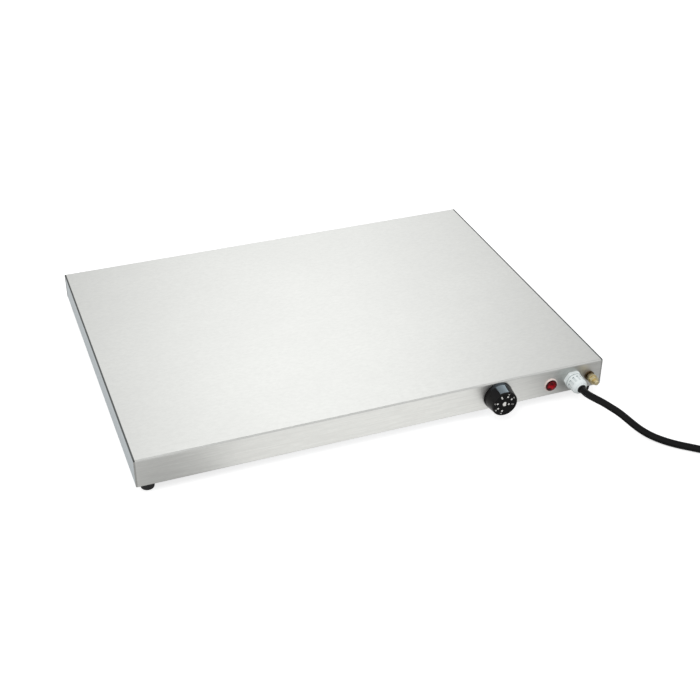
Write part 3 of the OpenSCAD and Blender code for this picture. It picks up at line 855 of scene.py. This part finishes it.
@dataclass
class Studio:
    """The pale floor, the soft light and the camera at the photograph's viewpoint.

    In reflections the world is one large softbox in a dimmer room: softbox_rings gives its brightness by the
    angle from its middle in degrees. A grey card in front of the tray, lighter in its middle, shows in
    reflections alone: card gives its brightness along X.
    """

    lens_mm: float = 62.79
    sensor_mm: float = 36
    clip: Span = (0.05, 100)
    eye: Point = (-0.45680, -1.29940, 0.90044)
    right: Point = (0.93554545, -0.35315941, 0.00575623)
    down: Point = (-0.18853289, -0.51308619, -0.83737561)
    ahead: Point = (0.29868052, 0.78231771, -0.54659761)
    world_strength: float = 0.7
    softbox: float = 1.49
    softbox_way: Point = (0.2594, 0.7748, 0.5764)
    softbox_rings: tuple[Span, ...] = (
        (0, 1), (6, 1), (18, 0.18), (27, 0.22), (46, 0.46), (100, 0.55), (180, 0.55))
    floor_side: float = 30.0
    floor_tone: float = 0.62
    floor_seen_tone: float = 0.5
    floor_mirrored_tone: float = 0.3
    floor_glow: float = 0.72
    card_tint: Colour = (1.01, 1.0, 0.985)
    card_half: float = 0.32
    card: tuple[Span, ...] = (
        (-0.32, 0.36), (-0.305, 0.3), (-0.285, 0.14), (-0.24, 0.22), (-0.21, 0.3), (-0.18, 0.56),
        (-0.13, 0.64), (0, 0.685), (0.15, 0.655), (0.21, 0.485), (0.24, 0.32), (0.265, 0.01), (0.285, 0),
        (0.32, 0.2))
    key: Softbox = Softbox("key_softbox", (-1.6, -1.0, 2.6), 2.0, 34)
    fill: Softbox = Softbox("fill_softbox", (2.2, -1.6, 1.8), 1.8, 12)
    window: Softbox = Softbox("knob_window", (0.60, 0.78, 1.06), 1.3, 46, (0.154, -0.222, 0.046),
                              (0.74, 0.9, 1.0), mirrored=True)

    def build(self) -> None:
        """Sets up everything that isn't part of the tray."""
        bpy.context.scene.view_settings.view_transform = "Standard"
        self.camera()
        self.floor()
        self.world()
        self.key.build()
        self.fill.build()
        only = bpy.data.collections.new("lit_by_knob_window")
        only.objects.link(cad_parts["control_knob"])
        self.window.build().light_linking.receiver_collection = only

    def camera(self) -> None:
        """Makes the camera from its measured place and axes."""
        data = bpy.data.cameras.new("camera")
        data.lens = self.lens_mm
        data.sensor_width = self.sensor_mm
        data.clip_start, data.clip_end = self.clip
        camera = add_object("camera", data)
        turn = Matrix((self.right, -Vector(self.down), -Vector(self.ahead))).transposed()
        camera.matrix_world = Matrix.Translation(self.eye) @ turn.to_4x4()
        bpy.context.scene.camera = camera

    def floor(self) -> None:
        """Makes the floor, which shows white to the camera and keeps the tray's shadow."""
        half = self.floor_side / 2
        mesh = bpy.data.meshes.new("studio_floor")
        square = [(-half, -half, 0), (half, -half, 0), (half, half, 0), (-half, half, 0)]
        mesh.from_pydata(square, [], [(0, 1, 2, 3)])
        floor = add_object("studio_floor", mesh)
        material = bpy.data.materials.new("studio_floor_white")
        material.use_nodes = True
        mesh.materials.append(material)
        nodes = Nodes(material.node_tree)
        ray = nodes.node("ShaderNodeLightPath").outputs
        tone = nodes.choose(ray["Is Camera Ray"], self.floor_tone, self.floor_seen_tone)
        tone = nodes.choose(ray["Is Glossy Ray"], tone, self.floor_mirrored_tone)
        seen = nodes.math("MAXIMUM", ray["Is Camera Ray"], ray["Is Transmission Ray"])
        glow = nodes.node("ShaderNodeEmission", Strength=nodes.choose(seen, 0.0, self.floor_glow))
        card = nodes.node("ShaderNodeEmission", Color=self.card_colour(nodes), Strength=ray["Is Glossy Ray"])
        surface = nodes.node("ShaderNodeBsdfDiffuse", Color=tone)
        for light in (glow, card):
            both = nodes.node("ShaderNodeAddShader")
            nodes.link(surface.outputs[0], both.inputs[0])
            nodes.link(light.outputs[0], both.inputs[1])
            surface = both
        nodes.node("ShaderNodeOutputMaterial", Surface=surface.outputs[0])

    def card_colour(self, nodes: Nodes) -> Socket:
        """Works out the mirrored card's colour along X.

        Args:
            nodes: The floor's node tree.

        Returns:
            The colour's socket.
        """
        half = self.card_half
        along = nodes.part(nodes.node("ShaderNodeTexCoord").outputs["Object"], Axis.X)
        stops = [((place + half) / (2 * half), shade(self.card_tint, level)) for place, level in self.card]
        return nodes.ramp(along, -half, half, stops)

    def world(self) -> None:
        """Lights the tray evenly, shows white to the camera, and the softbox and its room to reflections."""
        world = bpy.data.worlds.new("studio_world")
        bpy.context.scene.world = world
        world.use_nodes = True
        nodes = Nodes(world.node_tree)
        ray = nodes.node("ShaderNodeLightPath").outputs
        way = nodes.node("ShaderNodeTexCoord").outputs["Generated"]
        angle = nodes.math("ARCCOSINE", nodes.vector("DOT_PRODUCT", way, self.softbox_way, "Value"))
        rings = [(place / 180, (level, level, level)) for place, level in self.softbox_rings]
        lit = nodes.math("MULTIPLY", nodes.ramp(angle, 0.0, math.pi, rings), self.softbox)
        seen = nodes.math("MAXIMUM", ray["Is Camera Ray"], ray["Is Transmission Ray"])
        level = nodes.choose(ray["Is Glossy Ray"], self.world_strength, lit)
        level = nodes.choose(seen, level, 1.0)
        back = nodes.node("ShaderNodeBackground", Color=(1, 1, 1, 1), Strength=level)
        nodes.node("ShaderNodeOutputWorld", Surface=back.outputs[0])


@dataclass
class MainsLead:
    """The black lead from the gland to the coil beside the tray, and its plug.

    route and tail are in millimetres. tail gives how far along Y each point lies from the coil's end, and
    its share of the rise to the plug. In degrees, heading is the lead's way into the coil, climb_turn the
    turn in which it climbs to the second layer, and coil_step the turn from one point to the next.
    """

    diameter: float = 9 * MM
    pitch: float = 9.9 * MM
    coil_radius: float = 57.6 * MM
    heading: float = -40.0
    loops: int = 4
    climb_turn: float = 180
    coil_step: float = 15
    plug_height: float = 19.6 * MM
    route: list[Point] = field(default_factory=lambda: [
        (258.5, -237.5, 30), (258.5, -242, 30), (259.7, -248.7, 29.9), (262.4, -255.2, 29.5),
        (266.4, -261.1, 28.4), (272.4, -267.1, 25.7), (279.2, -273, 21.6), (285.8, -279.8, 17.7),
        (291.2, -288.3, 13.9), (295.6, -298, 10.7), (300.3, -308.7, 8), (306.7, -320.9, 6.1),
        (315.8, -333.3, 4.9), (328, -346.5, 4.5), (343.5, -360, 4.5), (360, -374, 4.5),
        (376.5, -388, 4.5), (393, -402, 4.5), (409, -415.5, 4.5)])
    tail: list[Span] = field(default_factory=lambda: [
        (10, 0), (22, 0.18), (35, 0.5), (48, 0.82), (60, 1), (70, 1)])
    sheath: Moulding = Moulding("lead_black_sheath", srgb(5, 5, 6), 0.27, 900, 0.02 * MM, worn=1.5, shine=0.2)
    plug: tuple[str, ...] = ("plug_boot", "plug_body", "plug_pins", "plug_earth_clips")
    ring_detail: int = 5
    span_detail: int = 4

    def coil(self) -> list[Vector]:
        """Winds the coil inwards and out again, with the climb where it turns back.

        Returns:
            The coil's points.
        """
        start = Vector(self.route[-1]) * MM
        heading = math.radians(self.heading)
        run = self.diameter
        centre = start + Vector((run * math.cos(heading) - self.coil_radius * math.sin(heading),
                                 run * math.sin(heading) + self.coil_radius * math.cos(heading), 0))
        turn = 90 - self.heading + 360 * self.loops
        steps = math.ceil(turn / self.coil_step)
        points = []
        for step in range(steps + 1):
            angle = turn * step / steps
            radius = self.coil_radius - self.pitch * min(angle, turn - angle) / 360
            climb = min(1.0, max(0.0, (angle - turn / 2 + self.climb_turn / 2) / self.climb_turn))
            place = math.radians(self.heading - 90 + angle)
            points.append(centre + Vector((radius * math.cos(place), radius * math.sin(place),
                                           self.pitch * climb * climb * (3 - 2 * climb))))
        return points

    def path(self) -> list[Vector]:
        """Joins the route, the coil and the tail.

        Returns:
            The points from the gland's mouth to the plug's boot.
        """
        points = [Vector(p) * MM for p in self.route] + self.coil()
        first = points[-1] + Vector((0, self.diameter, 0))
        rise = self.plug_height - first.z
        points.append(first)
        points += [first + Vector((0, along * MM, share * rise)) for along, share in self.tail]
        return points

    def build(self) -> None:
        path = self.path()
        data = bpy.data.curves.new("mains_lead", "CURVE")
        data.dimensions = "3D"
        data.bevel_depth = self.diameter / 2
        data.bevel_resolution = self.ring_detail
        data.use_fill_caps = True
        data.twist_mode = "MINIMUM"
        data.resolution_u = self.span_detail
        spline = data.splines.new("BEZIER")
        spline.resolution_u = self.span_detail
        spline.bezier_points.add(len(path) - 1)
        for point, place in zip(spline.bezier_points, path):
            point.co = place
            point.handle_left_type = point.handle_right_type = "AUTO"
        data.materials.append(self.sheath.material())
        lead = add_object("mains_lead", data)
        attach(lead, Body.TRAY.value)
        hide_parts("power_cord", "cord_coil", "cord_tail")


@dataclass(frozen=True)
class DotArc:
    """An arc of dots: the first one's angle, their number, the angle from one to the next, and their ring."""

    first: float
    count: int
    between: float
    ring: float = 0.675


@dataclass
class Dial:
    """The white print on the knob's face: dots, a long stroke, numbers and the OFF mark.

    Angles are in degrees from the dial's right. A ring is a place outwards, as a share of the radius. The
    stroke stands in the place of the 60.
    """

    x: float = 154 * MM
    face_y: float = -232.1 * MM
    z: float = 30 * MM
    radius: float = 15 * MM
    lift: float = 0.02 * MM
    print_thick: float = 0.05 * MM
    dots: tuple[DotArc, ...] = (DotArc(30, 2, 39.5), DotArc(167.5, 3, 42), DotArc(-15, 1, 0, 0.37))
    dot_radius: float = 1.2 * MM
    dot_sides: int = 20
    numbers: tuple[tuple[str, float], ...] = (
        ("40", 30), ("50", 70), ("70", 167.5), ("80", 210), ("90", 251.5))
    number_ring: float = 0.9
    number_size: float = 2.6 * MM
    off: float = -15
    off_ring: float = 0.73
    off_size: float = 2.3 * MM
    letter_thin: float = -0.03 * MM
    stroke: float = 114.6
    stroke_ring: float = 0.72
    stroke_size: Span = (5.2 * MM, 1.7 * MM)
    stroke_rounding: float = 0.45
    stroke_segments: int = 4

    def outwards(self, angle: float, ring: float, lean: float = 0) -> Matrix:
        """Returns the move from the dial's middle to a place on it.

        Args:
            angle: The place round the dial in degrees.
            ring: Its place outwards, as a share of the radius.
            lean: How far the thing there leans back from pointing outwards, in degrees.

        Returns:
            The move.
        """
        turn = math.radians(angle)
        away = ring * self.radius
        place = Matrix.Translation((away * math.cos(turn), away * math.sin(turn), 0))
        return place @ Matrix.Rotation(turn - math.radians(lean), 4, "Z")

    def arc_of_dots(self, arc: DotArc, paint: Material) -> Mesh:
        """Makes one arc of dots with geometry nodes.

        Args:
            arc: Where the dots lie.
            paint: Their finish.

        Returns:
            The dots' mesh, flat.
        """
        tree = GeometryTree("dial_dots")
        count = tree.number("Count", arc.count)
        ring = tree.number("Ring radius", self.radius * arc.ring)
        size = tree.number("Dot radius", self.dot_radius)
        first = tree.number("First angle", math.radians(arc.first))
        between = tree.number("Step angle", math.radians(arc.between))
        line = tree.node("GeometryNodeMeshLine", Count=count)
        index = tree.node("GeometryNodeInputIndex").outputs[0]
        angle = tree.math("ADD", tree.math("MULTIPLY", index, between), first)
        place = tree.node("ShaderNodeCombineXYZ", X=tree.math("MULTIPLY", ring, tree.math("COSINE", angle)),
                          Y=tree.math("MULTIPLY", ring, tree.math("SINE", angle)))
        moved = tree.node("GeometryNodeSetPosition", Geometry=line.outputs[0], Position=place.outputs[0])
        dot = tree.node("GeometryNodeMeshCylinder", Vertices=self.dot_sides, Radius=size,
                        Depth=self.print_thick)
        dots = tree.node("GeometryNodeInstanceOnPoints", Points=moved.outputs[0],
                         Instance=dot.outputs["Mesh"])
        return tree.bake(dots.outputs[0], paint)

    def long_stroke(self) -> Mesh:
        """Makes the stroke with rounded corners that points outwards.

        Returns:
            The stroke's mesh, flat.
        """
        length, width = self.stroke_size
        parts = bmesh.new()
        bmesh.ops.create_cube(parts, size=1)
        bmesh.ops.scale(parts, vec=(length, width, self.print_thick), verts=parts.verts)
        tall = self.print_thick / 2
        upright = [edge for edge in parts.edges if abs((edge.verts[0].co - edge.verts[1].co).z) > tall]
        bmesh.ops.bevel(parts, geom=upright, offset=width * self.stroke_rounding,
                        segments=self.stroke_segments, affect="EDGES")
        mesh = mesh_of(parts, "stroke")
        mesh.transform(self.outwards(self.stroke, self.stroke_ring))
        return mesh

    def word(self, text: str, size: float, place: Matrix) -> Mesh:
        """Makes one number or word.

        Args:
            text: What it says.
            size: The letters' height.
            place: Where it stands on the dial.

        Returns:
            The word's mesh, flat.
        """
        data = bpy.data.curves.new("mark", "FONT")
        data.body = text
        data.size = size
        data.align_x = data.align_y = "CENTER"
        data.extrude = self.print_thick / 2
        data.offset = self.letter_thin
        thing = add_object("mark", data)
        mesh = evaluated_mesh(thing)
        bpy.data.objects.remove(thing)
        mesh.transform(place)
        return mesh

    def build(self) -> None:
        """Makes all the marks in one worn white print."""
        paint = MarkPaint().material()
        flat = [self.arc_of_dots(arc, paint) for arc in self.dots]
        flat.append(self.long_stroke())
        for text, angle in self.numbers:
            flat.append(self.word(text, self.number_size, self.outwards(angle, self.number_ring, 90)))
        flat.append(self.word("OFF", self.off_size, self.outwards(self.off, self.off_ring)))
        parts = bmesh.new()
        for mesh in flat:
            parts.from_mesh(mesh)
        mesh = mesh_of(parts, "dial_print")
        mesh.transform(on_front(self.x, self.face_y - self.lift, self.z))
        new_piece("dial_print", mesh, paint, Body.KNOB)


@dataclass
class StudThread:
    """The cut thread on the bonding terminal's free end."""

    x: float = 282.5 * MM
    z: float = 30 * MM
    inner_y: float = -227.5 * MM
    outer_y: float = -232.1 * MM
    radius: float = 2.86 * MM
    pitch: float = 1.0 * MM
    ridge: float = 0.3 * MM
    turn_detail: int = 28
    ridge_sides: int = 6

    def build(self, brass: Material) -> None:
        """Winds the ridge round the stud with geometry nodes.

        Args:
            brass: The terminal's finish.
        """
        tree = GeometryTree("stud_thread")
        length = self.inner_y - self.outer_y
        radius = tree.number("Thread radius", self.radius)
        turns = tree.number("Turns", length / self.pitch)
        height = tree.number("Length", length)
        ridge = tree.number("Ridge radius", self.ridge)
        spiral = tree.node("GeometryNodeCurveSpiral", Resolution=self.turn_detail, Rotations=turns,
                           Start_Radius=radius, End_Radius=radius, Height=height)
        profile = tree.node("GeometryNodeCurvePrimitiveCircle", Resolution=self.ridge_sides, Radius=ridge)
        wound = tree.node("GeometryNodeCurveToMesh", Curve=spiral.outputs[0],
                          Profile_Curve=profile.outputs["Curve"], Fill_Caps=True)
        mesh = tree.bake(wound.outputs[0], brass)
        mesh.transform(on_front(self.x, self.inner_y, self.z))
        new_piece("stud_thread", mesh, brass, Body.TRAY)


@dataclass
class Finishes:
    """The finish of every CAD node, and the nodes whose curved faces are shaded smoothly."""

    table: tuple[tuple[Finish, tuple[str, ...]], ...] = (
        (BrushedSteel("cover_brushed_steel", marks=CoverPaintedShade()), ("cover",)),
        (BrushedSteel("end_panel_steel", srgb(232, 240, 244), Axis.Y, 0.34),
         ("left_end_panel", "right_end_panel")),
        (PlatedMetal("galvanised_sheet", srgb(176, 180, 184), 0.42, scale=60, spangle=90),
         ("base_plate", "insulation_tray", "element_clamps", "bulb_clip", "thermostat_body")),
        (PlatedMetal("zinc_plating", srgb(198, 200, 203), 0.3),
         ("base_screws", "foot_screws", "foot_nuts", "clamp_studs", "clamp_nuts", "tray_spacers",
          "tray_screws", "thermostat_screws", "lamp_clip", "terminal_screws")),
        (Moulding("foot_black_rubber", srgb(26, 26, 27), 0.6, 700, 0.06 * MM, worn=1.5), FEET),
        (BrushedSteel("spreader_aluminium", srgb(214, 216, 218), Axis.X, 0.38), ("heat_spreader",)),
        (PlatedMetal("element_sheath_oxide", srgb(112, 110, 104), 0.5, srgb(78, 72, 66), 120),
         ("heating_element",)),
        (Moulding("ceramic_end", srgb(232, 226, 208), 0.5, 500), ("element_terminals",)),
        (Moulding("cutout_case", srgb(32, 28, 26), 0.35), ("thermal_cutout",)),
        (Moulding("mineral_board", srgb(208, 196, 160), 0.9, 260, 0.6 * MM, worn=0.8), ("insulation_board",)),
        (PlatedMetal("drawn_copper", srgb(206, 138, 104), 0.3), ("thermostat_capillary", "thermostat_bulb")),
        (PlatedMetal("nickel_plating", srgb(226, 226, 224), 0.18),
         ("thermostat_spindle", "plug_pins", "plug_earth_clips", "earth_lug")),
        (KnobPlastic(), ("control_knob",)),
        (Moulding("dial_black_satin", srgb(10, 10, 11), 0.35, 900, 0.02 * MM, worn=1.3, shine=0.08),
         ("knob_dial",)),
        (Moulding("lamp_ring_pale", srgb(218, 202, 196), 0.35), ("lamp_bezel",)),
        (LampPlastic(), ("lamp_lens",)),
        (Moulding("lamp_housing_white", srgb(226, 224, 214), 0.45), ("lamp_body",)),
        # the gland's grooves get painted shade
        (Moulding("gland_pale_nylon", srgb(234, 241, 241), 0.3, 1200, worn=0.95, groove=srgb(132, 146, 148)),
         ("gland_body", "gland_dome_nut", "gland_locknut")),
        (Moulding("seal_black_rubber", srgb(22, 22, 23), 0.55), ("gland_seal",)),
        (Moulding("terminal_block_white", srgb(230, 228, 216), 0.45), ("terminal_block",)),
        (Moulding("core_brown", srgb(110, 62, 36), 0.4), ("supply_cores",)),
        (Moulding("sleeve_white", srgb(226, 222, 208), 0.75, 2500, 0.1 * MM),
         ("control_leads", "heater_leads")),
        (Moulding("plug_black_rubber", srgb(27, 27, 28), 0.5, 900, 0.04 * MM, worn=1.4),
         ("plug_boot", "plug_body", "cord_inner_end")))
    terminal: tuple[str, ...] = ("bonding_bolt", "bonding_nuts", "bonding_washers")
    smooth: tuple[str, ...] = (
        *FEET, "control_knob", "knob_dial", "lamp_bezel", "lamp_lens", "gland_body", "gland_seal",
        "bonding_bolt", "plug_body", "plug_boot", "plug_pins", "base_screws", "tray_screws", "foot_screws",
        "heating_element", "cover", "left_end_panel", "right_end_panel", "thermostat_capillary",
        "thermostat_bulb")

    def build(self, brass: Material) -> None:
        """Dresses the nodes, kind by kind.

        Args:
            brass: The bonding terminal's finish.
        """
        for finish, nodes in self.table:
            material = finish.material()
            for node in nodes:
                finish_node(node, material)
        for node in self.terminal:
            finish_node(node, brass)
        for node in self.smooth:
            smooth_node(node)


def main() -> None:
    """Builds the studio and dresses the tray."""
    logging.basicConfig(level=logging.INFO, format="%(name)s: %(message)s")
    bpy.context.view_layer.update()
    brass = Brass().material()
    Studio().build()
    MainsLead().build()
    Dial().build()
    StudThread().build(brass)
    Finishes().build(brass)


if __name__ == "__main__":
    main()
